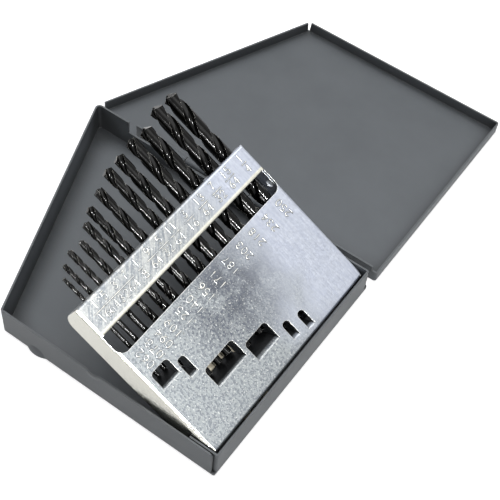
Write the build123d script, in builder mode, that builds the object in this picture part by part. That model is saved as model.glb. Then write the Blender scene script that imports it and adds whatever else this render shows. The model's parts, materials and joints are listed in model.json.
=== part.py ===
"""Drill bit case: a skewed steel tray and lid on a long hinge, a tilting rack and its twist drills.

Millimetres and degrees. X runs along the hinge, towards the end where the rack pivots. Y runs from
the front wall to the hinge, and the open lid lies beyond it. Z is up. The origin is in the tray's
underside, halfway along the hinge side and halfway across. The case stands open, with the rack up.
"""

from build123d import *
from fractions import Fraction
import math
import os

os.makedirs("parts", exist_ok=True)

# ---------------------------------------------------------------- the case
sheet = 0.7  # steel gauge of the tray, the lid and the rack
back_length = 138.8  # hinge side of the tray
front_length = 99.1  # front side; the shorter one, so the far end is slanted
rim_height = 14.2  # tray walls, from the table
closed_height = 16.2  # closed case
pan_height = 1.6  # the tray's pressed floor turns up this far
bend_radius = 0.5  # outside radius where the floor and the lid panel turn up
corner_radius = 2.0  # upright corner where the slanted end meets the hinge side
sharp_corner_radius = 0.8  # the tray's three other upright corners
front_tab_setback = 1.1  # the pivot end's front tab, from the front wall's face
rear_tab_setback = 2.1  # the pivot end's rear tab, from the hinge wall's face
front_slit = 1.5  # the front wall stops this far short of the pivot end
front_tab_length = 12.0
pivot_tab_length = 14.0
slant_front_tab_length = 4.0  # the slanted end runs on into the front wall
slant_rear_tab_length = 17.0  # tall part of the hinge side

# ---------------------------------------------------------------- the lid and its hinge
skirt_height = 5.6
lid_front_gap = 1.05  # between the closed lid's skirt and the tray, and likewise the next three
lid_end_gap = 0.35  # at the pivot end
lid_slant_front_gap = 1.45  # along the slanted end, whose skirt stands further off at the hinge
lid_slant_hinge_gap = 3.9
lid_corner_radius = 1.2
lid_hinge_corner_radius = 3.2  # where the lid's slanted end meets the hinge side
skirt_cut = 3.8  # the slanted skirt stops this far short of the hinge side
lid_tab_gap = 0.6  # between the tray's tall tab and the lid's hinge wall
lid_wall_setback = 1.6  # the lid's hinge wall stops this far from the pivot end
skirt_slit_rim = 1.6  # V-shaped slit at the lid's acute corner
skirt_slit_root = 0.8
pin_radius = 0.9
pin_play = 0.05  # radial, in the knuckles
knuckle_standoff = 0.6  # between the hinge wall and the barrel
knuckle_count = 9
knuckle_gap = 0.4
pin_end_fillet = 0.3
hinge_slant_inset = 25.0  # the barrel starts this far from the slanted end
hinge_end_inset = 18.0  # and stops this far from the pivot end
half_gap = 0.1  # each hinge wall stops this far short of the hinge's height

# ---------------------------------------------------------------- catch and stiffening dents
catch_width = 6.6  # along the rim
catch_depth = 0.75
catch_from_end = 55.0  # from the pivot end to the catch
dimple_width = 2.6  # in the lid's skirt, facing the catch
dimple_depth = 0.2
dimple_up = 2.9
foot_dent_width = 8.4
foot_dent_depth = 1.0
foot_dent_from_end = 82.9

# ---------------------------------------------------------------- the rack
rack_tilt = 28.2  # rest angle, with the lid open
rack_length = 69.5  # of its face, from the lower edge to the upper edge
flange_depth = 11.5
side_bend = 1.4  # outside radius of the bends to the flanges
edge_bend = 1.1  # outside radius of the bends at the upper and lower edges
rack_front_corner_radius = 1.2  # lower corners of the face
rack_rear_corner_radius = 4.0
flange_corner_radius = 4.5
rack_front_gap = 0.3  # between the front flange and its tab
rack_rear_gap = 0.7
face_clearance = 1.55  # between the folded rack's face and the closed lid
strip_width = 13.0  # band that carries the size numbers
slot_width = 9.5
slot_corner_radius = 3.6
slot_from_side = 0.5
slot_depth = 1.5  # how deep the slot cuts into the flanges
guide_depth = 10.2  # both guide plates
lip_depth = 9.3
lip_end_gap = 2.6  # the lower lip stops this far short of the flanges' outer faces
lip_lean = 22.0  # the lip leans up towards the drills
lip_split = 4.4  # the last drill stands on a square lip that starts this far before it
lip_slit = 0.5
lip_root = 3.3  # how far the lip's flat part reaches up the face
round_hole_radius = 1.5  # in the hinge-side flange
round_hole_up = 50.7
round_hole_depth = 3.7

# ---------------------------------------------------------------- the rack's pivots
pivot_radius = 1.5
pivot_play = 0.06
pivot_from_end = 5.65  # from the pivot end's outer face
pivot_up = 2.5  # from the rack's lower edge
pivot_depth = 3.9  # from the rack's face
pivot_head_radius = 2.3
pivot_head_height = 0.8
pivot_head_play = 0.1

# ---------------------------------------------------------------- the lifting spring
leaf_gauge = 0.4
leaf_width = 15.0
leaf_pad = 5.0
leaf_from_end = 1.2  # from the pivot wall's inner face
leaf_rise = 44.0
leaf_rise_length = 15.0
leaf_tip_rise = 31.0
leaf_tip_length = 8.2
leaf_bend_radius = 3.0
leaf_root_radius = 0.8
leaf_drill_number = 4  # the leaf starts beside this drill
rivet_radius = 1.2
rivet_head_radius = 1.9
rivet_head_height = 0.7

# ---------------------------------------------------------------- the drills
inch = 25.4
drill_depth = 5.6  # from the rack's face to each drill's axis
drill_play = 0.25  # radial, in the guide holes
seat_gap = 0.1  # between a drill's shank and what it stands on
first_margin = 6.3  # from the front flange to the first drill
last_margin = 2.0  # from the last drill to the rear flange
point_angle = 118.0
helix_angle = 30.0
groove_radius = 0.33  # of the diameter, and likewise the next one
groove_offset = 0.44
drills = [  # 64ths of an inch, overall length, flute length, gap to the next drill
    (4, 47.6, 22.2, 1.8),
    (5, 50.8, 25.4, 2.9),
    (6, 57.2, 31.8, 3.2),
    (7, 66.7, 38.1, 3.1),
    (8, 69.9, 41.3, 1.9),
    (9, 73.0, 44.5, 3.8),
    (10, 79.4, 50.8, 4.1),
    (11, 82.6, 54.0, 2.7),
    (12, 88.9, 58.7, 3.6),
    (13, 92.1, 61.9, 2.7),
    (14, 95.3, 63.5, 3.9),
    (15, 98.4, 66.7, 2.3),
    (16, 101.6, 69.9, 0.0),
]
windows = [  # first drill, last drill, side margins from their axes, lower edge, height, flap lean
    (1, 2, 4.5, 0.8, 28.5, 7.1, 31.0),
    (3, 3, 2.7, 1.3, 24.2, 7.9, 31.0),
    (4, 6, 3.2, 2.1, 14.3, 8.2, 31.0),
    (7, 8, 3.4, 1.2, 9.4, 8.2, 40.0),
    (9, 9, 2.2, 1.5, 4.3, 7.5, 40.0),
    (10, 10, 2.9, 0.8, 2.6, 7.5, 40.0),
]
window_corner_radius = 1.6
narrow_window_share = 0.45  # most that a corner takes of a narrow window's width
flap_side_gap = 0.15

# ---------------------------------------------------------------- worked out from the above
radius = [inch * size / 128 for size, overall, flutes, web in drills]
across = []  # each drill's axis, from the front flange's outer face
place = sheet + first_margin
for drill, drill_radius in zip(drills, radius):
    across.append(place + drill_radius)
    place += 2 * drill_radius + drill[3]
rack_width = place + last_margin + sheet
tray_width = (
    front_tab_setback + sheet + rack_front_gap + rack_width + rack_rear_gap + sheet + rear_tab_setback
)

x_end = back_length / 2
y_front = -tray_width / 2
y_back = tray_width / 2
slant = math.atan((back_length - front_length) / tray_width)
hinge_z = closed_height / 2
knuckle_radius = pin_radius + pin_play + sheet
hinge_y = y_back + knuckle_standoff + knuckle_radius
barrel_end = x_end - hinge_end_inset

rack_y = y_front + front_tab_setback + sheet + rack_front_gap
rack_mid_y = rack_y + rack_width / 2
pivot_x = x_end - pivot_from_end
pivot_z = closed_height - sheet - face_clearance - pivot_depth
tilt = math.radians(rack_tilt)
edge_x = pivot_x + pivot_up * math.cos(tilt) + pivot_depth * math.sin(tilt)
edge_z = pivot_z - pivot_up * math.sin(tilt) + pivot_depth * math.cos(tilt)

# The rack's own planes. face: X across the case, Y up the slope, Z out of the face.
face_plane = Plane(
    origin=(edge_x, rack_y, edge_z), x_dir=(0, 1, 0), z_dir=(math.sin(tilt), 0, math.cos(tilt))
)
# side: X up the slope, Y out of the face, Z across the case.
side_plane = Plane(
    origin=(edge_x, rack_y, edge_z), x_dir=(-math.cos(tilt), 0, math.sin(tilt)), z_dir=(0, 1, 0)
)
# end: X across the case, Y into the rack, Z up the slope.
end_plane = Plane(
    origin=(edge_x, rack_y, edge_z), x_dir=(0, 1, 0), z_dir=(-math.cos(tilt), 0, math.sin(tilt))
)


def slant_x(y, grow):
    """X of the slanted end's face at y, moved outwards by grow."""
    return x_end - front_length - (y - y_front) * math.tan(slant) - grow / math.cos(slant)


barrel_start = slant_x(y_back, 0) + hinge_slant_inset


def outline(grow, hinge_side_y, gaps=(0, 0, 0, 0)):
    """Corners of the case in plan, from the slanted end's front corner, anticlockwise.

    All but the hinge side lie outwards by grow, and by the gaps in front, at the pivot end and at
    both ends of the slanted side.
    """
    front_gap, end_gap, slant_front_gap, slant_hinge_gap = gaps
    front_y = y_front - front_gap - grow
    return [
        (slant_x(front_y, slant_front_gap + grow), front_y),
        (x_end + end_gap + grow, front_y),
        (x_end + end_gap + grow, hinge_side_y),
        (slant_x(hinge_side_y, slant_hinge_gap + grow), hinge_side_y),
    ]


def over_hinge(points):
    """The same points, turned over the hinge line to where the open lid lies."""
    return [(x, 2 * hinge_y - y) for x, y in points]


def plate(points, radii, plane=Plane.XY):
    """A flat outline with its own radius at each corner, where 0 leaves it sharp."""
    with BuildSketch(plane) as outline_sketch:
        Polygon(*points, align=None)
        for (x, y), corner in zip(points, radii):
            if corner > 0:
                fillet(outline_sketch.vertices().sort_by_distance((x, y, 0))[0], corner)
    return outline_sketch.sketch


def strip_of_sheet(points, bend, plane=Plane.XY, gauge=sheet):
    """The section of a bent strip, along the middle of its thickness."""
    with BuildSketch(plane) as section:
        with BuildLine():
            if len(points) > 2:
                FilletPolyline(*points, radius=bend)
            else:
                Polyline(*points)
        trace(line_width=gauge)
    return section.sketch


def dent(width, depth, place, low, high, wall=0.0):
    """What a ball pressed through a wall towards -Y adds, or hollows out when it is a wall smaller."""
    x, face_y, z = place
    ball_radius = (width * width / 4 + depth * depth) / (2 * depth)
    with BuildPart() as bump:
        with Locations((x, face_y + ball_radius - depth, z)):
            Sphere(ball_radius - wall)
        with Locations((x, face_y + sheet, low)):
            Box(
                2 * width,
                width,
                high - low,
                align=(Align.CENTER, Align.MAX, Align.MIN),
                mode=Mode.INTERSECT,
            )
    return bump.part


def knuckles(first, toward, bore):
    """Every second knuckle of the hinge, with its neck to the wall on the side given by toward."""
    pitch = (barrel_end - barrel_start + knuckle_gap) / knuckle_count
    neck_z = hinge_z - half_gap - sheet / 2
    neck_reach = hinge_y - y_back + sheet / 2
    with BuildPart() as barrel:
        for number in range(first, knuckle_count, 2):
            with BuildSketch(Plane.YZ.offset(barrel_start + number * pitch)):
                with Locations((hinge_y, hinge_z)):
                    Circle(knuckle_radius)
                with Locations((hinge_y + toward * neck_reach / 2, neck_z)):
                    Rectangle(neck_reach, sheet)
                with Locations((hinge_y, hinge_z)):
                    Circle(bore, mode=Mode.SUBTRACT)
            extrude(amount=pitch - knuckle_gap)
    return barrel.part


# ---------------------------------------------------------------- tray
slant_middle = -sheet / 2  # the sheet's middle lies this far outside its outer face
front_tab_y = y_front + front_tab_setback + sheet / 2
pivot_rear_tab_y = y_back - rear_tab_setback - sheet / 2
wall_bend = corner_radius - sheet / 2
sharp_wall_bend = sharp_corner_radius - sheet / 2
slant_front_y = y_front + sheet / 2
slant_rear_y = y_back - sheet / 2
slant_front_corner = (slant_x(slant_front_y, slant_middle), slant_front_y)
slant_rear_corner = (slant_x(slant_rear_y, slant_middle), slant_rear_y)
pivot_wall_x = x_end - sheet / 2
leaf_root_x = x_end - sheet - leaf_from_end - leaf_pad
leaf_y = rack_y + across[leaf_drill_number - 1] + leaf_width / 2
rivet_x = leaf_root_x + leaf_pad / 2
catch_x = x_end - catch_from_end
foot_dent_x = x_end - foot_dent_from_end
wall_height = rim_height - pan_height + sheet / 2

with BuildPart() as base_tray:
    extrude(
        plate(outline(0, y_back), [sharp_corner_radius] * 3 + [corner_radius]),
        amount=pan_height,
    )
    fillet(base_tray.edges().group_by(Axis.Z)[0], bend_radius)
    extrude(
        plate(
            outline(-sheet, y_back - sheet),
            [0, 0, 0, corner_radius - sheet],
            Plane.XY.offset(sheet),
        ),
        amount=pan_height,
        mode=Mode.SUBTRACT,
    )
    # front wall, and the low wall on the hinge side
    front_wall_start = slant_x(y_front, 0) + sharp_corner_radius
    extrude(
        plate(
            [
                (front_wall_start, bend_radius),
                (x_end - front_slit, bend_radius),
                (x_end - front_slit, rim_height),
                (front_wall_start, rim_height),
            ],
            [0, 0, corner_radius, 0],
            Plane.XZ.offset(-y_front),
        ),
        amount=-sheet,
    )
    hinge_wall_start = slant_x(y_back, 0) + 2 * corner_radius
    hinge_wall_end = x_end - sharp_corner_radius
    extrude(
        plate(
            [
                (hinge_wall_start, bend_radius),
                (hinge_wall_end, bend_radius),
                (hinge_wall_end, hinge_z - half_gap),
                (hinge_wall_start, hinge_z - half_gap),
            ],
            [0, 0, 0, 0],
            Plane.XZ.offset(-y_back),
        ),
        amount=sheet,
    )
    # slanted end with its two tabs, then the pivot end with its two tabs
    wall_plane = Plane.XY.offset(pan_height - sheet / 2)
    extrude(
        strip_of_sheet(
            [
                (slant_front_corner[0] + slant_front_tab_length, slant_front_y),
                slant_front_corner,
                slant_rear_corner,
                (slant_rear_corner[0] + slant_rear_tab_length, slant_rear_y),
            ],
            [sharp_wall_bend, wall_bend],
            wall_plane,
        ),
        amount=wall_height,
    )
    extrude(
        strip_of_sheet(
            [
                (pivot_wall_x - front_tab_length, front_tab_y),
                (pivot_wall_x, front_tab_y),
                (pivot_wall_x, pivot_rear_tab_y),
                (pivot_wall_x - pivot_tab_length, pivot_rear_tab_y),
            ],
            sharp_wall_bend,
            wall_plane,
        ),
        amount=wall_height,
    )
    # catch at the rim, and the dent at the foot of the front wall
    for width, depth, x, z in (
        (catch_width, catch_depth, catch_x, rim_height),
        (foot_dent_width, foot_dent_depth, foot_dent_x, 0),
    ):
        add(dent(width, depth, (x, y_front, z), 0, rim_height))
        add(dent(width, depth, (x, y_front, z), sheet, rim_height, sheet), mode=Mode.SUBTRACT)
    add(knuckles(0, -1, pin_radius + pin_play))
    # rivet holes: the rack's in the two tabs at the pivot end, the spring's in the floor
    for tab_y in (front_tab_y, pivot_rear_tab_y):
        with BuildSketch(Plane.XZ.offset(-tab_y)):
            with Locations((pivot_x, pivot_z)):
                Circle(pivot_radius)
        extrude(amount=sheet / 2, both=True, mode=Mode.SUBTRACT)
    with BuildSketch():
        with Locations((rivet_x, leaf_y)):
            Circle(rivet_radius)
    extrude(amount=sheet, mode=Mode.SUBTRACT)
base_tray.part.label = "base_tray"
export_step(base_tray.part, "parts/base_tray.step")

# ---------------------------------------------------------------- lid, open and flat on the table
lid_gaps = (lid_front_gap, lid_end_gap, lid_slant_front_gap, lid_slant_hinge_gap)
lid_corners = over_hinge(outline(sheet, y_back, lid_gaps))
lid_inside = over_hinge(outline(0, y_back - sheet, lid_gaps))
lid_wall_y = 2 * hinge_y - y_back
lid_wall_start = slant_x(y_back, 0) + slant_rear_tab_length + lid_tab_gap
lid_wall_end = x_end - lid_wall_setback
lid_front_y = 2 * hinge_y - y_front + lid_front_gap

with BuildPart() as lid:
    extrude(
        plate(lid_corners, [lid_corner_radius] * 3 + [lid_hinge_corner_radius]), amount=skirt_height
    )
    fillet(lid.edges().group_by(Axis.Z)[0], bend_radius)
    extrude(
        plate(lid_inside, [0, 0, 0, lid_hinge_corner_radius - sheet], Plane.XY.offset(sheet)),
        amount=skirt_height,
        mode=Mode.SUBTRACT,
    )
    # no skirt and no wall where the tray's tall tab comes through, nor at the corner beside it
    cut_start = lid_corners[-1][0] - sheet
    extrude(
        plate(
            [
                (cut_start, lid_wall_y - sheet),
                (lid_wall_start, lid_wall_y - sheet),
                (lid_wall_start, lid_wall_y + skirt_cut),
                (cut_start, lid_wall_y + skirt_cut),
            ],
            [0, 0, 0, 0],
            Plane.XY.offset(sheet),
        ),
        amount=skirt_height,
        mode=Mode.SUBTRACT,
    )
    # the taller wall at the hinge
    extrude(
        plate(
            [
                (lid_wall_start, bend_radius),
                (lid_wall_end, bend_radius),
                (lid_wall_end, hinge_z - half_gap),
                (lid_wall_start, hinge_z - half_gap),
            ],
            [0, 0, 0, 0],
            Plane.XZ.offset(-lid_wall_y),
        ),
        amount=-sheet,
    )
    # a dimple pressed inwards, facing the tray's catch
    dimple_place = (catch_x, lid_front_y, dimple_up)
    add(dent(dimple_width, dimple_depth, dimple_place, sheet, skirt_height))
    add(dent(dimple_width, dimple_depth, dimple_place, sheet, skirt_height, sheet), mode=Mode.SUBTRACT)
    add(knuckles(1, 1, pin_radius + pin_play))
    # V-shaped slit at the acute corner
    tip = Vector(*lid_corners[0], 0)
    arms = [(Vector(*lid_corners[other], 0) - tip).normalized() for other in (1, -1)]
    inward = (arms[0] + arms[1]).normalized()
    with BuildSketch(Plane(origin=tip, x_dir=Vector(0, 0, 1).cross(inward), z_dir=inward)):
        Polygon(
            (-skirt_slit_root / 2, bend_radius),
            (skirt_slit_root / 2, bend_radius),
            (skirt_slit_rim / 2, skirt_height),
            (-skirt_slit_rim / 2, skirt_height),
            align=None,
        )
    extrude(amount=2 * lid_corner_radius, both=True, mode=Mode.SUBTRACT)
lid.part.label = "lid"
export_step(lid.part, "parts/lid.step")

# ---------------------------------------------------------------- hinge pin
with BuildPart() as hinge_pin:
    with BuildSketch(Plane.YZ.offset(barrel_start)):
        with Locations((hinge_y, hinge_z)):
            Circle(pin_radius)
    extrude(amount=barrel_end - barrel_start)
    fillet(hinge_pin.edges().filter_by(GeomType.CIRCLE), pin_end_fillet)
hinge_pin.part.label = "hinge_pin"
export_step(hinge_pin.part, "parts/hinge_pin.step")

# ---------------------------------------------------------------- rack
strip_low = rack_length - strip_width
slot_low = strip_low - slot_width
half = sheet / 2
bend = edge_bend - half  # the sheet's middle, at the rack's bends
across_deck = rack_width - 2 * side_bend

with BuildPart() as flange:  # the front flange with its bend
    extrude(
        strip_of_sheet(
            [(half, flange_depth), (half, half), (side_bend + half, half)], side_bend - half, end_plane
        ),
        amount=rack_length,
    )
    extrude(
        plate(
            [(0, 0), (rack_length, 0), (rack_length, -flange_depth), (0, -flange_depth)],
            [edge_bend, edge_bend, flange_corner_radius, flange_corner_radius],
            side_plane,
        ),
        amount=side_bend,
        mode=Mode.INTERSECT,
    )


def lip(lean, start, stop):
    """The lower lip from start to stop across the rack, leaning up towards the drills."""
    rise = (lip_depth - half) * math.tan(math.radians(lean))
    path = [(lip_root, -half), (half, -half), (half + rise, -lip_depth)]
    extrude(strip_of_sheet(path, bend, side_plane.offset(start)), amount=stop - start)


with BuildPart() as rack:
    add(flange)
    mirror(about=Plane.XZ.offset(-rack_mid_y))
    deck_top = slot_low + slot_corner_radius
    deck_path = [(deck_top, -half), (half, -half), (half, -2 * edge_bend)]
    extrude(strip_of_sheet(deck_path, bend, side_plane.offset(side_bend)), amount=across_deck)
    guide_path = [
        (rack_length - half, -guide_depth),
        (rack_length - half, -half),
        (strip_low + half, -half),
        (strip_low + half, -guide_depth),
    ]
    extrude(strip_of_sheet(guide_path, bend, side_plane.offset(side_bend)), amount=across_deck)
    lip_change = across[-1] - lip_split
    lip(lip_lean, lip_end_gap, lip_change)
    lip(0, lip_change + lip_slit, rack_width - lip_end_gap)
    # slot below the numbers, and the face's two rounded lower corners
    slot_sides = (slot_from_side, rack_width - slot_from_side)
    extrude(
        plate(
            [
                (slot_sides[0], slot_low),
                (slot_sides[1], slot_low),
                (slot_sides[1], strip_low),
                (slot_sides[0], strip_low),
            ],
            [slot_corner_radius, slot_corner_radius, 0, 0],
            face_plane,
        ),
        amount=-slot_depth,
        mode=Mode.SUBTRACT,
    )
    for corner_x, inward, corner in (
        (0, 1, rack_front_corner_radius),
        (rack_width, -1, rack_rear_corner_radius),
    ):
        centre = (corner_x + inward * corner, corner)
        with BuildSketch(face_plane):
            with Locations(centre):
                Rectangle(corner, corner, align=(Align.MAX if inward > 0 else Align.MIN, Align.MAX))
                Circle(corner, mode=Mode.SUBTRACT)
        extrude(amount=-slot_depth, mode=Mode.SUBTRACT)
    # windows, each with the flap that was bent in from it
    for first, last, before, after, low, height, lean in windows:
        left = across[first - 1] - before
        right = across[last - 1] + after
        top_radius = min(window_corner_radius, narrow_window_share * (right - left))
        extrude(
            plate(
                [(left, low), (right, low), (right, low + height), (left, low + height)],
                [0, 0, top_radius, top_radius],
                face_plane,
            ),
            amount=-2 * sheet,
            mode=Mode.SUBTRACT,
        )
        lean_angle = math.radians(lean)
        flap_path = [
            (low - 2 * bend, -half),
            (low, -half),
            (low + height * math.sin(lean_angle), -half - height * math.cos(lean_angle)),
        ]
        flap_plane = side_plane.offset(left + flap_side_gap)
        extrude(strip_of_sheet(flap_path, bend, flap_plane), amount=right - left - 2 * flap_side_gap)
    # a hole for each drill through both guide plates
    with BuildSketch(end_plane.offset(strip_low)):
        for distance, drill_radius in zip(across, radius):
            with Locations((distance, drill_depth)):
                Circle(drill_radius + drill_play)
    extrude(amount=strip_width, mode=Mode.SUBTRACT)
    # pivot holes in both flanges, and one round hole in the hinge-side flange
    for flange_start in (0, rack_width - side_bend):
        with BuildSketch(side_plane.offset(flange_start)):
            with Locations((pivot_up, -pivot_depth)):
                Circle(pivot_radius + pivot_play)
        extrude(amount=side_bend, mode=Mode.SUBTRACT)
    with BuildSketch(side_plane.offset(rack_width - side_bend)):
        with Locations((round_hole_up, -round_hole_depth)):
            Circle(round_hole_radius)
    extrude(amount=side_bend, mode=Mode.SUBTRACT)
rack.part.label = "rack"
export_step(rack.part, "parts/rack.step")


# ---------------------------------------------------------------- pivot rivets
def pivot_rivet(tab_y, flange_y, inward):
    """A rivet from the tab's outer face to a head just inside the rack's flange."""
    start = Plane(origin=(pivot_x, tab_y - inward * half, pivot_z), z_dir=(0, inward, 0))
    head_at = abs(flange_y - tab_y) + half + pivot_head_play
    with BuildPart() as rivet:
        with BuildSketch(start):
            Circle(pivot_radius)
        extrude(amount=head_at)
        with BuildSketch(start.offset(head_at)):
            Circle(pivot_head_radius)
        extrude(amount=pivot_head_height)
        fillet(rivet.edges().sort_by(Axis.Y, reverse=inward > 0)[0], pivot_head_height / 2)
    return rivet.part


rack_pivot_front = pivot_rivet(front_tab_y, rack_y + sheet, 1)
rack_pivot_front.label = "rack_pivot_front"
export_step(rack_pivot_front, "parts/rack_pivot_front.step")

rack_pivot_rear = pivot_rivet(pivot_rear_tab_y, rack_y + rack_width - sheet, -1)
rack_pivot_rear.label = "rack_pivot_rear"
export_step(rack_pivot_rear, "parts/rack_pivot_rear.step")

# ---------------------------------------------------------------- lifting spring and its rivet
leaf_z = sheet + leaf_gauge / 2
rise = math.radians(leaf_rise)
tip_rise = math.radians(leaf_tip_rise)
leaf_knee = (
    leaf_root_x - leaf_rise_length * math.cos(rise),
    leaf_z + leaf_rise_length * math.sin(rise),
)
leaf_tip = (
    leaf_knee[0] - leaf_tip_length * math.cos(tip_rise),
    leaf_knee[1] + leaf_tip_length * math.sin(tip_rise),
)
with BuildPart() as rack_spring:
    with BuildSketch(Plane.XZ.offset(-leaf_y)):
        with BuildLine():
            FilletPolyline(
                (leaf_root_x + leaf_pad, leaf_z),
                (leaf_root_x, leaf_z),
                leaf_knee,
                leaf_tip,
                radius=[leaf_root_radius, leaf_bend_radius],
            )
        trace(line_width=leaf_gauge)
    extrude(amount=leaf_width / 2, both=True)
    with BuildSketch(Plane.XY.offset(sheet)):
        with Locations((rivet_x, leaf_y)):
            Circle(rivet_radius)
    extrude(amount=leaf_gauge, mode=Mode.SUBTRACT)
rack_spring.part.label = "rack_spring"
export_step(rack_spring.part, "parts/rack_spring.step")

with BuildPart() as spring_rivet:
    with BuildSketch():
        with Locations((rivet_x, leaf_y)):
            Circle(rivet_radius)
    extrude(amount=sheet + leaf_gauge)
    with BuildSketch(Plane.XY.offset(sheet + leaf_gauge)):
        with Locations((rivet_x, leaf_y)):
            Circle(rivet_head_radius)
    extrude(amount=rivet_head_height)
    fillet(spring_rivet.edges().sort_by(Axis.Z)[-1], rivet_head_height / 2)
spring_rivet.part.label = "spring_rivet"
export_step(spring_rivet.part, "parts/spring_rivet.step")


# ---------------------------------------------------------------- drills
def stand(edge, lean, reach):
    """Height up the slope of a leaning flap's upper side, at reach below the rack's face."""
    angle = math.radians(lean)
    along = (reach - half + half * math.sin(angle)) / math.cos(angle)
    return edge + along * math.sin(angle) + half * math.cos(angle)


def seat_height(number):
    """Where drill number stands: on its window's flap, or else on the lower lip."""
    deepest = drill_depth + radius[number - 1]
    for first, last, before, after, low, height, lean in windows:
        if first <= number <= last:
            angle = math.radians(lean)
            flap_depth = half + height * math.cos(angle) - half * math.sin(angle)
            return stand(low, lean, min(deepest, flap_depth)) + seat_gap
    return stand(half, 0 if number == len(drills) else lip_lean, deepest) + seat_gap


def fluted_body(diameter, length, turn):
    """Twist drill section, turned by an angle as it rises."""
    with BuildSketch() as section:
        Circle(diameter / 2)
        with PolarLocations(groove_offset * diameter, 2):
            Circle(groove_radius * diameter, mode=Mode.SUBTRACT)
    return Solid.extrude_linear_with_rotation(section.sketch.face(), (0, 0, 0), (0, 0, length), turn)


for number, (size, overall, flutes, web) in enumerate(drills, start=1):
    drill_radius = radius[number - 1]
    seat = face_plane.from_local_coords((across[number - 1], seat_height(number), -drill_depth))
    up_plane = Plane(origin=seat, x_dir=end_plane.x_dir, z_dir=end_plane.z_dir)
    # one full turn for each lead, right-handed
    lead = 2 * math.pi * drill_radius / math.tan(math.radians(helix_angle))
    turn = 360 * flutes / lead
    flute_start = up_plane.offset(overall - flutes).location
    fluted = fluted_body(2 * drill_radius, flutes, turn).moved(flute_start)
    # the point falls away to both sides of a chisel edge that runs from flute to flute
    shoulder = overall - drill_radius / math.tan(math.radians(point_angle / 2))
    lobe = math.radians(turn + 90)
    lobe_dir = up_plane.x_dir * math.cos(lobe) + up_plane.y_dir * math.sin(lobe)
    point_plane = Plane(origin=seat, x_dir=lobe_dir, z_dir=lobe_dir.cross(up_plane.z_dir))
    with BuildPart() as drill:
        with BuildSketch(up_plane):
            Circle(drill_radius)
        extrude(amount=overall - flutes)
        add(fluted)
        with BuildSketch(point_plane):
            for side in (-1, 1):
                Polygon(
                    (0, overall),
                    (side * drill_radius, shoulder),
                    (side * 2 * drill_radius, shoulder),
                    (side * 2 * drill_radius, overall + drill_radius),
                    (0, overall + drill_radius),
                    align=None,
                )
        extrude(amount=2 * drill_radius, both=True, mode=Mode.SUBTRACT)
    name = "drill_" + str(Fraction(size, 64)).replace("/", "_")
    drill.part.label = name
    export_step(drill.part, f"parts/{name}.step")
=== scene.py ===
"""Looks of the drill bit case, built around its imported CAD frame. Metres, in the frame's own axes.

X runs along the hinge towards the end where the rack pivots, Y from the front wall to the open lid,
and Z is up from the table. Colours are linear, with their alpha last.
"""

import bpy
import json
import math
from mathutils import Matrix, Vector


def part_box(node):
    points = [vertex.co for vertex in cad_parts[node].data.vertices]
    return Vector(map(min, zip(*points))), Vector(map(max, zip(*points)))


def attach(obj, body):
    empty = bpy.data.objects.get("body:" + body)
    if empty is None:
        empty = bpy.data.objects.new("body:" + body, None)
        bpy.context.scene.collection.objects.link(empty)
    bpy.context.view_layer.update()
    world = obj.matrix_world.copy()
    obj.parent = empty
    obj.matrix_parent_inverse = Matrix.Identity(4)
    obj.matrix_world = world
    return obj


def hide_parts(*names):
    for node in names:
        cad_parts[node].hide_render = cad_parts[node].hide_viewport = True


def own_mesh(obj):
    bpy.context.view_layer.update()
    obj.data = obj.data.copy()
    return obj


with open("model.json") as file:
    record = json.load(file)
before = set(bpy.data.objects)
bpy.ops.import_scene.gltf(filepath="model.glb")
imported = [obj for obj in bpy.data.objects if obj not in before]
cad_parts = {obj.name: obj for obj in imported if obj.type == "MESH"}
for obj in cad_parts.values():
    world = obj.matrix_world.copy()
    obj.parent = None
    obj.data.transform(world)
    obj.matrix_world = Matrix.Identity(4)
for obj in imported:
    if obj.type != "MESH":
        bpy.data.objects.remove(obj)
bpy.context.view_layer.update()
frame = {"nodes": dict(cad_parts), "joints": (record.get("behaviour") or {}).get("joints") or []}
nodes = frame["nodes"]
joints = {joint["name"]: joint for joint in frame["joints"]}
mm = 0.001

# ---------------------------------------------------------------- the rack's place
rack_tilt = math.radians(28.2)
rack_length = 69.5 * mm
pivot_up = 2.5 * mm
pivot_depth = 3.9 * mm
strip_low = 56.5 * mm

rack_low, rack_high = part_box("rack")
pivot = Vector(joints["rack_pivot"]["pos_m"])
up_slope = Vector((-math.cos(rack_tilt), 0, math.sin(rack_tilt)))
out_of_face = Vector((math.sin(rack_tilt), 0, math.cos(rack_tilt)))
rack_edge = pivot - pivot_up * up_slope + pivot_depth * out_of_face
rack_edge.y = rack_low.y
rack_middle = rack_edge + 0.5 * rack_length * up_slope
rack_middle.y = (rack_low.y + rack_high.y) / 2

# ---------------------------------------------------------------- the raised size numbers
stroke_radius = 0.27 * mm
stroke_sunk = 0.05 * mm
digit_height = 3.0 * mm
digit_width = 1.75 * mm
digit_pitch = 2.75 * mm
numerator_up = 64.8 * mm
bar_up = 63.6 * mm
denominator_up = 59.7 * mm
bar_overhang = 0.5 * mm
decimal_start = 37.2 * mm
decimal_pitch = 2.7 * mm
decimal_height = 3.1 * mm
point_before = 0.45  # of a pitch, from the decimal point to the first digit
numbers = [  # fraction, decimal, and how many mm the two stand from the rack's front edge
    ("1", "16", ".062", 6.9, 6.2),
    ("5", "64", ".078", 11.8, 11.3),
    ("3", "32", ".094", 17.2, 16.6),
    ("7", "64", ".109", 22.7, 22.1),
    ("1", "8", ".125", 29.1, 28.6),
    ("9", "64", ".140", 35.6, 34.7),
    ("5", "32", ".156", 42.3, 41.6),
    ("11", "64", ".171", 49.1, 48.6),
    ("3", "16", ".187", 57.1, 56.6),
    ("13", "64", ".203", 66.0, 65.2),
    ("7", "32", ".218", 74.2, 73.3),
    ("15", "64", ".234", 82.6, 81.9),
    ("1", "4", ".250", 91.7, 91.1),
]

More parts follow.
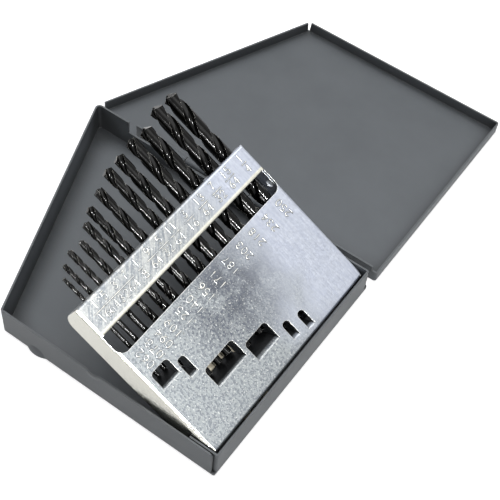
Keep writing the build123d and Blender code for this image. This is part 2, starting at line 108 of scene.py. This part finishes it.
# ---------------------------------------------------------------- the lifting spring
leaf_gauge = 0.4 * mm
leaf_pad = 5.0 * mm
leaf_rise = math.radians(44.0)
leaf_rise_length = 15.0 * mm
leaf_tip_rise = math.radians(31.0)
leaf_tip_length = 8.2 * mm
leaf_length = leaf_pad + leaf_rise_length + leaf_tip_length
leaf_corner = 2.5 * mm
leaf_columns = 24
leaf_rows = 28

# ---------------------------------------------------------------- floor and world
floor_reach = 0.6
floor_sunk = 0.1 * mm
floor_grey = (0.8, 0.8, 0.8, 1)
floor_glow = 0.70
white = (1, 1, 1, 1)
world_fill = 0.05
world_seen = 1.0

# ---------------------------------------------------------------- camera, fitted to the photograph
camera_place = Vector((159.04, -201.79, 373.76)) * mm
camera_right = Vector((0.81278, 0.57812, 0.07180))
camera_up = Vector((-0.50207, 0.63263, 0.58967))
camera_back = camera_right.cross(camera_up)


def put_in_scene(name, data):
    """A new object with this data, in the scene."""
    thing = bpy.data.objects.new(name, data)
    bpy.context.scene.collection.objects.link(thing)
    return thing


camera_data = bpy.data.cameras.new("camera")
camera_data.lens = 82.3
camera_data.sensor_width = 36.0
camera_data.clip_start = 10 * mm
camera = put_in_scene("camera", camera_data)
camera_axes = Matrix((camera_right, camera_up, camera_back)).transposed().to_4x4()
camera.matrix_world = Matrix.Translation(camera_place) @ camera_axes
bpy.context.scene.camera = camera
bpy.context.scene.view_settings.view_transform = "Standard"


# ---------------------------------------------------------------- node helpers
def feed(tree, node, **inputs):
    """Links or sets a node's inputs, each named with _ for a space, or numbered i0, i1 and so on."""
    for key, value in inputs.items():
        socket = node.inputs[int(key[1:])] if key[1:].isdigit() else node.inputs[key.replace("_", " ")]
        if isinstance(value, bpy.types.NodeSocket):
            tree.links.new(value, socket)
        else:
            socket.default_value = value


def add_node(tree, kind, settings=None, **inputs):
    """A node with its settings, and with its inputs fed."""
    node = tree.nodes.new(kind)
    for key, value in (settings or {}).items():
        setattr(node, key, value)
    feed(tree, node, **inputs)
    return node


def math_node(tree, operation, first, second):
    """The result of one sum on two sockets or numbers."""
    return add_node(tree, "ShaderNodeMath", {"operation": operation}, i0=first, i1=second).outputs[0]


def difference(tree, first, second):
    """first less second."""
    return math_node(tree, "SUBTRACT", first, second)


def product(tree, result, *factors):
    """All of them multiplied, from left to right."""
    for factor in factors:
        result = math_node(tree, "MULTIPLY", result, factor)
    return result


def vector_node(tree, operation, first, second):
    """The node of one sum on two vectors, each a socket or a plain vector."""
    return add_node(tree, "ShaderNodeVectorMath", {"operation": operation}, i0=first, i1=second)


def dot(tree, first, second):
    """The dot product of two vectors, each a socket or a plain vector."""
    return vector_node(tree, "DOT_PRODUCT", first, second).outputs["Value"]


def ramp(tree, value, low, high, to_low=0.0, to_high=1.0):
    """value, carried from low..high to to_low..to_high and held there beyond."""
    ends = {"From_Min": low, "From_Max": high, "To_Min": to_low, "To_Max": to_high}
    return add_node(tree, "ShaderNodeMapRange", None, Value=value, **ends).outputs["Result"]


def mix_colour(tree, share, first, second):
    """Two colours mixed, by a share of the second."""
    return add_node(tree, "ShaderNodeMix", {"data_type": "RGBA"}, i0=share, i6=first, i7=second).outputs[2]


def noise(tree, place, size, detail=3.0, roughness=0.55):
    """Noise whose features are about size metres across."""
    grain = {"Scale": 1 / size, "Detail": detail, "Roughness": roughness}
    return add_node(tree, "ShaderNodeTexNoise", None, Vector=place, **grain).outputs["Fac"]


def stretched(tree, place, angle, shape):
    """Coordinates turned about Y by angle, then scaled along the turned axes."""
    turned = add_node(
        tree, "ShaderNodeVectorRotate", {"rotation_type": "Y_AXIS"}, Vector=place, Angle=angle
    )
    return vector_node(tree, "MULTIPLY", turned.outputs[0], shape).outputs[0]


def rounded_normal(tree, radius):
    """The normal, with edges rounded by radius."""
    return add_node(tree, "ShaderNodeBevel", {"samples": 4}, Radius=radius).outputs[0]


def edge_share(tree, radius, flat=0.995, sharp=0.80):
    """1 on sharp edges, fading to 0 within radius of them, by the cosine of the rounded normal's turn."""
    plain = add_node(tree, "ShaderNodeNewGeometry").outputs["Normal"]
    return ramp(tree, dot(tree, rounded_normal(tree, radius), plain), flat, sharp)


def openness(tree, reach, samples, own_only=False):
    """1 in the open, less where other surfaces, or only the piece's own, stand within reach."""
    settings = {"samples": samples, "only_local": own_only}
    return add_node(tree, "ShaderNodeAmbientOcclusion", settings, Distance=reach).outputs["AO"]


def bump(tree, height, distance, strength, radius):
    """A normal with bumps of height times distance, on edges rounded by radius."""
    smooth = rounded_normal(tree, radius)
    sizes = {"Distance": distance, "Strength": strength}
    return add_node(tree, "ShaderNodeBump", None, Height=height, Normal=smooth, **sizes).outputs[0]


def new_material(name, **inputs):
    """A new material, with its shader's plain inputs set: (material, tree, shader, object coordinates)."""
    material = bpy.data.materials.new(name)
    material.use_nodes = True
    tree = material.node_tree
    shader = tree.nodes["Principled BSDF"]
    feed(tree, shader, **inputs)
    place = add_node(tree, "ShaderNodeTexCoord").outputs["Object"]
    return material, tree, shader, place


# ---------------------------------------------------------------- materials
core = (0.35, 0.65)  # the values between which most of a noise lies
spread = (0.3, 0.7)  # and those between which nearly all of it lies


def case_paint():
    """Grey enamel: slightly uneven gloss, orange peel, paler worn edges, and painted shade darkening its
    inner walls and corners.
    """
    dark, light = (0.110, 0.123, 0.136, 1), (0.132, 0.146, 0.160, 1)
    speck_grey, worn_grey = (0.12, 0.13, 0.14, 1), (0.34, 0.35, 0.34, 1)
    corner_shade_grey = (0.010, 0.011, 0.013, 1)
    roughness = (0.46, 0.58)
    speck_share, worn_least, worn_most, corner_shade_share = 0.22, 0.35, 0.8, 0.75
    worn_range, hollow_range = (0.25, 0.6), (0.90, 0.50)

    material, tree, shader, place = new_material("case_paint", Specular_IOR_Level=0.45)
    clouds = noise(tree, place, size=30 * mm, detail=4.0)
    grain = noise(tree, place, size=1.2 * mm, detail=2.0)
    peel = noise(tree, place, size=0.7 * mm, detail=1.0)
    body = mix_colour(tree, ramp(tree, clouds, *core), dark, light)
    speckled = mix_colour(tree, ramp(tree, grain, *spread, 0.0, speck_share), body, speck_grey)
    patchy = ramp(tree, grain, *worn_range, worn_least, worn_most)
    worn = product(tree, edge_share(tree, 0.35 * mm), patchy)
    wear_and_highlight = mix_colour(tree, worn, speckled, worn_grey)
    # painted shade: the enamel darkens where its own walls stand close, in the corners, along the inner
    # walls and at the hinge
    hollow = openness(tree, 12 * mm, samples=8, own_only=True)
    shaded_corners = ramp(tree, hollow, *hollow_range, 0.0, corner_shade_share)
    feed(
        tree,
        shader,
        Base_Color=mix_colour(tree, shaded_corners, wear_and_highlight, corner_shade_grey),
        Roughness=ramp(tree, clouds, *spread, *roughness),
        Normal=bump(tree, peel, distance=0.02 * mm, strength=0.5, radius=0.3 * mm),
    )
    return material


def brushed_zinc(tree, place):
    """Zinc brushed askew, at 45 degrees to the slope."""
    dark, light = (0.24, 0.26, 0.28, 1), (0.46, 0.47, 0.46, 1)
    stretch, light_range = 0.08, (0.40, 0.58)
    along = (up_slope + Vector((0, 1, 0))).normalized()
    athwart = (up_slope - Vector((0, 1, 0))).normalized()
    combed = add_node(
        tree,
        "ShaderNodeCombineXYZ",
        None,
        X=dot(tree, place, athwart),
        Y=product(tree, dot(tree, place, along), stretch),
    ).outputs[0]
    brush = noise(tree, combed, size=0.9 * mm, detail=2.0)
    return mix_colour(tree, ramp(tree, brush, *light_range), dark, light)


def hidden_inside(tree, across, up, depth):
    """1 on the rack's inside, away from its outer walls."""
    under_face, past_wall = (0.9 * mm, 1.6 * mm), (1.1 * mm, 1.4 * mm)
    margins = (
        difference(tree, across, rack_low.y),
        difference(tree, rack_high.y, across),
        up,
        difference(tree, rack_length, up),
    )
    within = (ramp(tree, margin, *past_wall) for margin in margins)
    return product(tree, ramp(tree, depth, *under_face), *within)


def galvanized():
    """Zinc plate: spangled and pitted towards the front, smooth at the hinge, and dull in the middle.

    The strip above the slot is brushed, its bend has a painted cream highlight, and the front flange is
    cream.
    The edges have a painted pale highlight, and crevices and the inside are darkened by painted shade.
    """
    smooth_dark, smooth_light = (0.41, 0.44, 0.515, 1), (0.485, 0.515, 0.58, 1)
    front_grey, stain_grey = (0.345, 0.370, 0.380, 1), (0.09, 0.098, 0.115, 1)
    spangle_dark, pit_white = (0.085, 0.095, 0.12, 1), (0.86, 0.87, 0.83, 1)
    flange_cream, bend_highlight_cream = (0.54, 0.535, 0.485, 1), (0.70, 0.69, 0.60, 1)
    edge_highlight, crevice_shade_grey = (0.90, 0.90, 0.86, 1), (0.10, 0.11, 0.12, 1)
    inside_shade_grey = (0.045, 0.047, 0.050, 1)
    mottle_none, mottle_full, mottle_drift = 30 * mm, -6 * mm, 9 * mm
    stain_rim, stain_heart = 28 * mm, 6 * mm
    streak_shape = (0.12, 1.0, 1.0)
    strip_soft, bend_soft = 0.3 * mm, 0.2 * mm
    flange_rim, flange_full = 1.4 * mm, 1.0 * mm
    bend_rim, bend_full = 1.8 * mm, 1.2 * mm
    spangle_range, pit_range = (0.46, 0.57), (0.60, 0.70)
    stain_range, crevice_range = (0.34, 0.56), (0.55, 0.95)
    stain_share, brushed_share, pit_share = 0.9, 0.85, 0.7
    spangle_share, strip_calmer, spangle_relief = 0.62, 0.3, 0.6
    roughness, flange_smoother = (0.30, 0.46), 0.20

    material, tree, shader, place = new_material("galvanized", Metallic=1.0)
    across = add_node(tree, "ShaderNodeSeparateXYZ", None, Vector=place).outputs["Y"]
    up = difference(tree, dot(tree, place, up_slope), rack_edge.dot(up_slope))
    depth = difference(tree, rack_edge.dot(out_of_face), dot(tree, place, out_of_face))
    streaks = noise(tree, stretched(tree, place, -rack_tilt, streak_shape), size=0.6 * mm, detail=2.0)
    patches = noise(tree, place, size=12 * mm)
    spangle = noise(tree, place, size=1.0 * mm, roughness=0.65)
    pits = noise(tree, place, size=0.6 * mm, detail=2.0, roughness=0.6)

    # where each look lies
    drift = math_node(tree, "ADD", across, ramp(tree, patches, *spread, -mottle_drift, mottle_drift))
    mottled = ramp(tree, drift, mottle_none, mottle_full)
    from_middle = vector_node(tree, "DISTANCE", place, rack_middle).outputs["Value"]
    spot = ramp(tree, from_middle, stain_rim, stain_heart)
    stain = product(tree, spot, ramp(tree, patches, *stain_range))
    on_strip = ramp(tree, up, strip_low, strip_low + strip_soft)
    flange = ramp(tree, across, rack_edge.y + flange_rim, rack_edge.y + flange_full)
    bend = product(
        tree,
        ramp(tree, up, strip_low, strip_low + bend_soft),
        ramp(tree, up, strip_low + bend_rim, strip_low + bend_full),
        difference(tree, 1.0, flange),
    )
    dark = product(tree, ramp(tree, spangle, *spangle_range), mottled)
    darkness = difference(
        tree, ramp(tree, stain, 0.0, 1.0, spangle_share, 1.0), product(tree, on_strip, strip_calmer)
    )
    pitted = product(tree, ramp(tree, pits, *pit_range), mottled)
    crevice = openness(tree, 0.9 * mm, samples=6)

    # the looks, laid one over the other
    smooth = mix_colour(tree, ramp(tree, streaks, *core), smooth_dark, smooth_light)
    colour = mix_colour(tree, mottled, smooth, front_grey)
    colour = mix_colour(tree, product(tree, stain, stain_share), colour, stain_grey)
    brushed = product(tree, on_strip, mottled, brushed_share)
    colour = mix_colour(tree, brushed, colour, brushed_zinc(tree, place))
    colour = mix_colour(tree, product(tree, dark, darkness), colour, spangle_dark)
    colour = mix_colour(tree, product(tree, pitted, pit_share), colour, pit_white)
    colour = mix_colour(tree, flange, colour, flange_cream)
    # painted highlight: a cream band along the strip's rolled lower bend, above the slot
    colour = mix_colour(tree, bend, colour, bend_highlight_cream)
    # painted highlight: the sheet's edges and window rims are paled nearly to white
    colour = mix_colour(tree, edge_share(tree, 0.45 * mm), colour, edge_highlight)
    # painted shade: darker where other surfaces stand within 0.9 mm, as around the raised numbers and the
    # flaps
    colour = mix_colour(tree, ramp(tree, crevice, *crevice_range), crevice_shade_grey, colour)
    # painted shade: the rack's inside, away from its walls, is darkened to stand in for the shade there
    colour = mix_colour(tree, hidden_inside(tree, across, up, depth), colour, inside_shade_grey)
    dullness = ramp(tree, spangle, *spread, *roughness)
    relief = math_node(tree, "ADD", product(tree, dark, spangle_relief), streaks)
    feed(
        tree,
        shader,
        Base_Color=colour,
        Roughness=difference(tree, dullness, product(tree, flange, flange_smoother)),
        Normal=bump(tree, relief, distance=0.04 * mm, strength=0.6, radius=0.3 * mm),
    )
    return material


def stamped():
    """The raised numbers: the same zinc, patchily paler as wear and a painted highlight, with painted shade
    along their sides.
    """
    pale_highlight_tone, dull, side_shade_grey = (0.66, 0.65, 0.60, 1), (0.40, 0.42, 0.44, 1), (0.13, 0.14, 0.15, 1)
    roughness, side_shade_range, dull_range = (0.28, 0.42), (0.90, 0.60), (0.4, 0.62)

    material, tree, shader, place = new_material("stamped", Metallic=1.0)
    normal = add_node(tree, "ShaderNodeTexCoord").outputs["Normal"]
    # painted shade: the strokes darken where they turn away from the face, along their sides
    shaded_sides = ramp(tree, dot(tree, normal, out_of_face), *side_shade_range)
    wear_and_highlight = noise(tree, place, size=1.0 * mm, detail=2.0)
    tone = mix_colour(tree, ramp(tree, wear_and_highlight, *dull_range), pale_highlight_tone, dull)
    feed(
        tree,
        shader,
        Base_Color=mix_colour(tree, shaded_sides, tone, side_shade_grey),
        Roughness=ramp(tree, wear_and_highlight, *spread, *roughness),
    )
    return material


def black_oxide():
    """Blackened high speed steel: glossy and nearly black, with grinding marks and pale dots and dashes
    along its edges, a painted highlight.
    """
    dark, light, highlight_pale = (0.002, 0.002, 0.002, 1), (0.006, 0.006, 0.005, 1), (0.85, 0.83, 0.76, 1)
    roughness = (0.08, 0.15)
    highlight_dot_range, highlight_dot_least, mark_shape = (0.48, 0.58), 0.05, (1.0, 0.25, 0.25)

    material, tree, shader, place = new_material("black_oxide", Specular_IOR_Level=0.17)
    marks = noise(tree, stretched(tree, place, -rack_tilt, mark_shape), size=0.3 * mm, detail=2.0)
    smears = noise(tree, place, size=4 * mm)
    highlight_dots = noise(tree, place, size=0.8 * mm, detail=1.0)
    body = mix_colour(tree, ramp(tree, smears, *core), dark, light)
    # painted highlight: pale dots and dashes on the edges stand in for glints on the flutes and margins
    wear_and_highlight = product(tree, edge_share(tree, 0.22 * mm), ramp(tree, highlight_dots, *highlight_dot_range, highlight_dot_least, 1.0))
    feed(
        tree,
        shader,
        Base_Color=mix_colour(tree, wear_and_highlight, body, highlight_pale),
        Roughness=ramp(tree, smears, *spread, *roughness),
        Normal=bump(tree, marks, distance=0.004 * mm, strength=0.5, radius=0.12 * mm),
    )
    return material


def bare_steel(name, clean, dull, roughness):
    """Plain steel with fine scratches and dull patches."""
    scratch_shape = (0.1, 1.0, 1.0)

    material, tree, shader, place = new_material(name, Metallic=1.0)
    scratches = noise(tree, stretched(tree, place, 0.0, scratch_shape), size=0.4 * mm, detail=2.0)
    patches = noise(tree, place, size=3 * mm)
    feed(
        tree,
        shader,
        Base_Color=mix_colour(tree, ramp(tree, patches, *core), clean, dull),
        Roughness=ramp(tree, patches, *spread, *roughness),
        Normal=bump(tree, scratches, distance=0.01 * mm, strength=0.5, radius=0.2 * mm),
    )
    return material


materials = {
    "case_paint": case_paint(),
    "galvanized": galvanized(),
    "stamped": stamped(),
    "black_oxide": black_oxide(),
    "spring_steel": bare_steel(
        "spring_steel", clean=(0.47, 0.44, 0.36, 1), dull=(0.30, 0.27, 0.21, 1), roughness=(0.34, 0.55)
    ),
    "pin_steel": bare_steel(
        "pin_steel", clean=(0.50, 0.51, 0.52, 1), dull=(0.33, 0.34, 0.35, 1), roughness=(0.25, 0.42)
    ),
}
finishes = {
    "base_tray": "case_paint",
    "lid": "case_paint",
    "rack": "galvanized",
    "rack_spring": "spring_steel",
}


def dress(piece, finish):
    """The piece wears the finish in each of its slots, or in a new one where it has none."""
    for slot in piece.material_slots:
        slot.material = materials[finish]
    if not piece.material_slots:
        piece.data.materials.append(materials[finish])


for name, node in nodes.items():
    dress(node, "black_oxide" if name.startswith("drill_") else finishes.get(name, "pin_steel"))

# ---------------------------------------------------------------- the size numbers on the rack
strokes = {  # each sign's strokes in a box 1 wide and 1 high; the first word says if they close
    "0": [("loop", (0.5, 1), (1, 0.5), (0.5, 0), (0, 0.5))],
    "1": [("open", (0.5, 0), (0.5, 1))],
    "2": [("open", (0.05, 0.78), (0.5, 1), (0.95, 0.74), (0.55, 0.36), (0, 0)), ("open", (0, 0), (1, 0))],
    "3": [
        ("open", (0.05, 0.85), (0.5, 1), (0.9, 0.77), (0.45, 0.54)),
        ("open", (0.45, 0.54), (1, 0.28), (0.5, 0), (0, 0.17)),
    ],
    "4": [("open", (0.72, 0), (0.72, 1)), ("open", (0.72, 1), (0, 0.3)), ("open", (0, 0.3), (1, 0.3))],
    "5": [
        ("open", (0.9, 1), (0.15, 1)),
        ("open", (0.15, 1), (0.08, 0.55)),
        ("open", (0.08, 0.55), (0.55, 0.63), (1, 0.32), (0.5, 0), (0, 0.15)),
    ],
    "6": [
        ("open", (0.85, 0.97), (0.2, 0.66), (0.03, 0.28), (0.5, 0), (0.97, 0.3), (0.5, 0.57), (0.08, 0.38)),
    ],
    "7": [("open", (0, 1), (1, 1)), ("open", (1, 1), (0.5, 0.5), (0.38, 0))],
    "8": [
        ("loop", (0.5, 1), (0.92, 0.78), (0.5, 0.55), (0.08, 0.78)),
        ("loop", (0.5, 0.55), (1, 0.27), (0.5, 0), (0, 0.27)),
    ],
    "9": [
        ("open", (0.15, 0.03), (0.8, 0.34), (0.97, 0.72), (0.5, 1), (0.03, 0.7), (0.5, 0.43), (0.92, 0.62)),
    ],
    ".": [("open", (0.46, 0.0), (0.54, 0.06))],
    "-": [("open", (0, 0), (1, 0))],
}


def on_face(across, up):
    """The point across from the rack's front edge and up from its lower edge, a little under its face."""
    point = rack_edge + up * up_slope - stroke_sunk * out_of_face
    point.y += across
    return point


def write(curve, sign, corner, right, tall):
    """One sign, from its corner, with its width along right and its height along tall."""
    for kind, *points in strokes[sign]:
        spline = curve.splines.new("BEZIER")
        spline.bezier_points.add(len(points) - 1)
        for point, (x, y) in zip(spline.bezier_points, points):
            place = (corner[0] + x * right[0] + y * tall[0], corner[1] + x * right[1] + y * tall[1])
            point.co = on_face(*place)
            point.handle_left_type = point.handle_right_type = "AUTO"
        spline.use_cyclic_u = kind == "loop"


def row_width(text):
    """How wide the digits of text stand side by side."""
    return (len(text) - 1) * digit_pitch + digit_width


def write_row(curve, text, middle, up):
    """Digits side by side, centred at middle across the rack."""
    start = middle - row_width(text) / 2
    for place, sign in enumerate(text):
        write(curve, sign, (start + place * digit_pitch, up), (digit_width, 0), (0, digit_height))


numbers_curve = bpy.data.curves.new("size_numbers", "CURVE")
numbers_curve.dimensions = "3D"
numbers_curve.resolution_u = 6
numbers_curve.bevel_depth = stroke_radius
numbers_curve.bevel_resolution = 2
numbers_curve.use_fill_caps = True
for top, bottom, decimal, fraction_across, decimal_across in numbers:
    middle = fraction_across * mm
    write_row(numbers_curve, top, middle, numerator_up)
    write_row(numbers_curve, bottom, middle, denominator_up)
    bar = row_width(bottom) + 2 * bar_overhang
    write(numbers_curve, "-", (middle - bar / 2, bar_up), (bar, 0), (0, 0))
    for place, sign in enumerate(decimal):
        lift = decimal_start + (place - 1 if place else -point_before) * decimal_pitch
        corner = (decimal_across * mm + decimal_height / 2, lift)
        write(numbers_curve, sign, corner, (0, digit_width), (-decimal_height, 0))
curve_object = put_in_scene("numbers_curve", numbers_curve)
numbers_mesh = bpy.data.meshes.new_from_object(
    curve_object.evaluated_get(bpy.context.evaluated_depsgraph_get())
)
bpy.data.objects.remove(curve_object)
for face in numbers_mesh.polygons:
    face.use_smooth = True
size_numbers = put_in_scene("size_numbers", numbers_mesh)
dress(size_numbers, "stamped")
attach(size_numbers, "rack")


# ---------------------------------------------------------------- the lifting spring's finer leaf
def leaf_line(share):
    """Distance along X from the pad's end, and height, at a share of the leaf's length."""
    run = share * leaf_length
    rising = min(max(run - leaf_pad, 0), leaf_rise_length)
    tip = max(run - leaf_pad - leaf_rise_length, 0)
    x = min(run, leaf_pad) + rising * math.cos(leaf_rise) + tip * math.cos(leaf_tip_rise)
    return x, rising * math.sin(leaf_rise) + tip * math.sin(leaf_tip_rise)


leaf_low, leaf_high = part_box("rack_spring")
leaf_vertices, leaf_faces = [], []
for side in (0, 1):
    for row in range(leaf_rows + 1):
        share = row / leaf_rows
        x, z = leaf_line(share)
        into_corner = max(leaf_corner - (1 - share) * leaf_length, 0)
        inset = leaf_corner - math.sqrt(max(leaf_corner**2 - into_corner**2, 0))
        for column in range(leaf_columns + 1):
            low_y, high_y = leaf_low.y + inset, leaf_high.y - inset
            y = low_y + (high_y - low_y) * column / leaf_columns
            height = min(leaf_low.z + z + side * leaf_gauge, leaf_high.z)
            leaf_vertices.append((leaf_high.x - x, y, height))
per_row, per_side = leaf_columns + 1, (leaf_rows + 1) * (leaf_columns + 1)


def close_edge(start, end, flip):
    """The face between the leaf's two sides, along one edge of its border."""
    wall = (start, end, per_side + end, per_side + start)
    leaf_faces.append(wall[::-1] if flip else wall)


for row in range(leaf_rows):
    for column in range(leaf_columns):
        corner = row * per_row + column
        lower = (corner, corner + 1, corner + per_row + 1, corner + per_row)
        leaf_faces.append(lower)
        leaf_faces.append(tuple(per_side + other for other in reversed(lower)))
for row in range(leaf_rows):
    for column, flip in ((0, False), (leaf_columns, True)):
        close_edge(row * per_row + column, (row + 1) * per_row + column, flip)
for column in range(leaf_columns):
    for row, flip in ((0, True), (leaf_rows, False)):
        close_edge(row * per_row + column, row * per_row + column + 1, flip)
leaf_mesh = bpy.data.meshes.new("lifting_leaf")
leaf_mesh.from_pydata(leaf_vertices, [], leaf_faces)
leaf_mesh.validate()
lifting_leaf = put_in_scene("lifting_leaf", leaf_mesh)
dress(lifting_leaf, "spring_steel")
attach(lifting_leaf, "case")
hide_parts("rack_spring")
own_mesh(lifting_leaf)


# ---------------------------------------------------------------- floor, world and lamps
def seen_directly(tree):
    """1 for rays from the camera and for those that gloss or glass sends on."""
    rays = add_node(tree, "ShaderNodeLightPath").outputs
    either = math_node(tree, "MAXIMUM", rays["Is Camera Ray"], rays["Is Glossy Ray"])
    return math_node(tree, "MAXIMUM", either, rays["Is Transmission Ray"])


corners = [(-1, -1), (1, -1), (1, 1), (-1, 1)]
floor_mesh = bpy.data.meshes.new("floor")
floor_mesh.from_pydata([(x * floor_reach, y * floor_reach, 0) for x, y in corners], [], [(0, 1, 2, 3)])
floor = put_in_scene("floor", floor_mesh)
floor.location.z = -floor_sunk
floor_material = bpy.data.materials.new("floor")
floor_material.use_nodes = True
tree = floor_material.node_tree
tree.nodes.clear()
matt = add_node(tree, "ShaderNodeBsdfDiffuse", None, Color=floor_grey).outputs[0]
glow = add_node(tree, "ShaderNodeEmission", None, Color=white, Strength=floor_glow).outputs[0]
glowing = add_node(tree, "ShaderNodeAddShader", None, i0=matt, i1=glow).outputs[0]
ground = add_node(tree, "ShaderNodeMixShader", None, i0=seen_directly(tree), i1=matt, i2=glowing)
add_node(tree, "ShaderNodeOutputMaterial", None, Surface=ground.outputs[0])
floor_mesh.materials.append(floor_material)

world = bpy.data.worlds.new("studio")
bpy.context.scene.world = world
world.use_nodes = True
tree = world.node_tree
tree.nodes.clear()
strength = ramp(tree, seen_directly(tree), 0.0, 1.0, world_fill, world_seen)
sky = add_node(tree, "ShaderNodeBackground", None, Color=white, Strength=strength)
add_node(tree, "ShaderNodeOutputWorld", None, Surface=sky.outputs[0])


def lamp(name, place, target, size, watts, glint=False):
    """A square soft box at place, turned to target. A glint is seen in glossy surfaces alone."""
    data = bpy.data.lights.new(name, "AREA")
    data.size = size
    data.energy = watts
    box = put_in_scene(name, data)
    box.location = place
    box.rotation_mode = "QUATERNION"
    box.rotation_quaternion = (Vector(target) - Vector(place)).to_track_quat("-Z", "Y")
    box.visible_diffuse = not glint


lamp("key", (-0.06, 0.14, 1.10), target=(0, 0.06, 0), size=1.30, watts=12.0)
lamp("glint_right", (0.62, -0.23, 0.88), target=(0, 0.02, 0), size=0.03, watts=9.0, glint=True)
lamp("glint_front", (0.33, -0.80, 0.51), target=(0, 0.02, 0), size=0.03, watts=8.0, glint=True)
